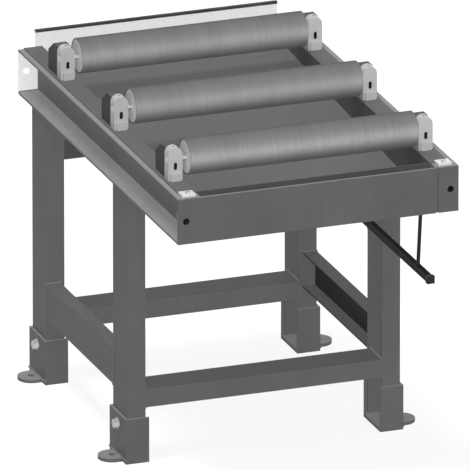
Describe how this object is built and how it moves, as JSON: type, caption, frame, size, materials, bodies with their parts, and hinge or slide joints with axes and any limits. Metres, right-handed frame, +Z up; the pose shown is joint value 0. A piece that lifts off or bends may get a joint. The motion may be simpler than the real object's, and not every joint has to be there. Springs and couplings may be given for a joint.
{
  "type": "roller conveyor",
  "caption": "Short gravity roller conveyor table: idle rollers in axle blocks over a sloping drip pan, on a welded channel frame with clamped adjustable feet.",
  "frame": {"origin": "on the floor under the centre of the deck", "axes": "+X along the rollers to the right, +Y along the direction of travel to the rear plate, +Z up"},
  "size_m": [0.706, 1, 0.7859],
  "materials": {
    "frame_paint": "satin grey paint",
    "pan_paint": "satin grey paint",
    "zinc_plate": "zinc plated",
    "roller_steel": "drawn tube, light turning marks",
    "bearing_steel": "ground steel",
    "black_steel": "black oxide",
    "black_rubber": "matt",
    "black_plastic": "matt tube"
  },
  "bodies": {
    "frame": {"rail_left": "frame_paint", "rail_right": "frame_paint", "front_plate": "frame_paint", "end_pad": "frame_paint", "end_sleeves": "frame_paint", "rear_plate": "zinc_plate", "edge_strip": "black_rubber", "drip_pan": "pan_paint", "pan_clamps": "zinc_plate", "pan_clamp_bolts": "zinc_plate", "roller1_axle": "bearing_steel", "roller2_axle": "bearing_steel", "roller3_axle": "bearing_steel", "axle_blocks": "zinc_plate", "block_braces": "black_steel", "block_bolts": "zinc_plate", "axle_screws": "black_steel", "leg_fl": "frame_paint", "leg_fr": "frame_paint", "leg_rl": "frame_paint", "leg_rr": "frame_paint", "stretcher_front": "frame_paint", "stretcher_rear": "frame_paint", "stretcher_left": "frame_paint", "stretcher_right": "frame_paint", "tie_rear": "frame_paint", "drain_outlet": "zinc_plate", "drain_tube": "black_plastic", "return_gutter": "frame_paint", "gutter_cap": "black_rubber", "gutter_bracket": "frame_paint", "gutter_bolt": "zinc_plate"},
    "roller1": {"roller1_tube": "roller_steel", "roller1_hubs": "roller_steel", "roller1_bearings": "bearing_steel", "roller1_caps": "zinc_plate"},
    "roller2": {"roller2_tube": "roller_steel", "roller2_hubs": "roller_steel", "roller2_bearings": "bearing_steel", "roller2_caps": "zinc_plate"},
    "roller3": {"roller3_tube": "roller_steel", "roller3_hubs": "roller_steel", "roller3_bearings": "bearing_steel", "roller3_caps": "zinc_plate"},
    "foot_fl": {"foot_fl": "frame_paint", "foot_bolt_fl": "zinc_plate"},
    "foot_fr": {"foot_fr": "frame_paint", "foot_bolt_fr": "zinc_plate"},
    "foot_rl": {"foot_rl": "frame_paint", "foot_bolt_rl": "zinc_plate"},
    "foot_rr": {"foot_rr": "frame_paint", "foot_bolt_rr": "zinc_plate"}
  },
  "joints": [
    {"name": "roller1_spin", "type": "hinge", "parent": "frame", "child": "roller1", "pos_m": [0, -0.38, 0.748], "axis": [1, 0, 0], "continuous": true},
    {"name": "roller2_spin", "type": "hinge", "parent": "frame", "child": "roller2", "pos_m": [0, -0.047, 0.748], "axis": [1, 0, 0], "continuous": true},
    {"name": "roller3_spin", "type": "hinge", "parent": "frame", "child": "roller3", "pos_m": [0, 0.286, 0.748], "axis": [1, 0, 0], "continuous": true},
    {"name": "foot_fl_height", "type": "slide", "parent": "frame", "child": "foot_fl", "axis": [0, 0, 1], "range_m": [-0.05, 0]},
    {"name": "foot_fr_height", "type": "slide", "parent": "frame", "child": "foot_fr", "axis": [0, 0, 1], "range_m": [-0.05, 0]},
    {"name": "foot_rl_height", "type": "slide", "parent": "frame", "child": "foot_rl", "axis": [0, 0, 1], "range_m": [-0.05, 0]},
    {"name": "foot_rr_height", "type": "slide", "parent": "frame", "child": "foot_rr", "axis": [0, 0, 1], "range_m": [-0.05, 0]}
  ]
}
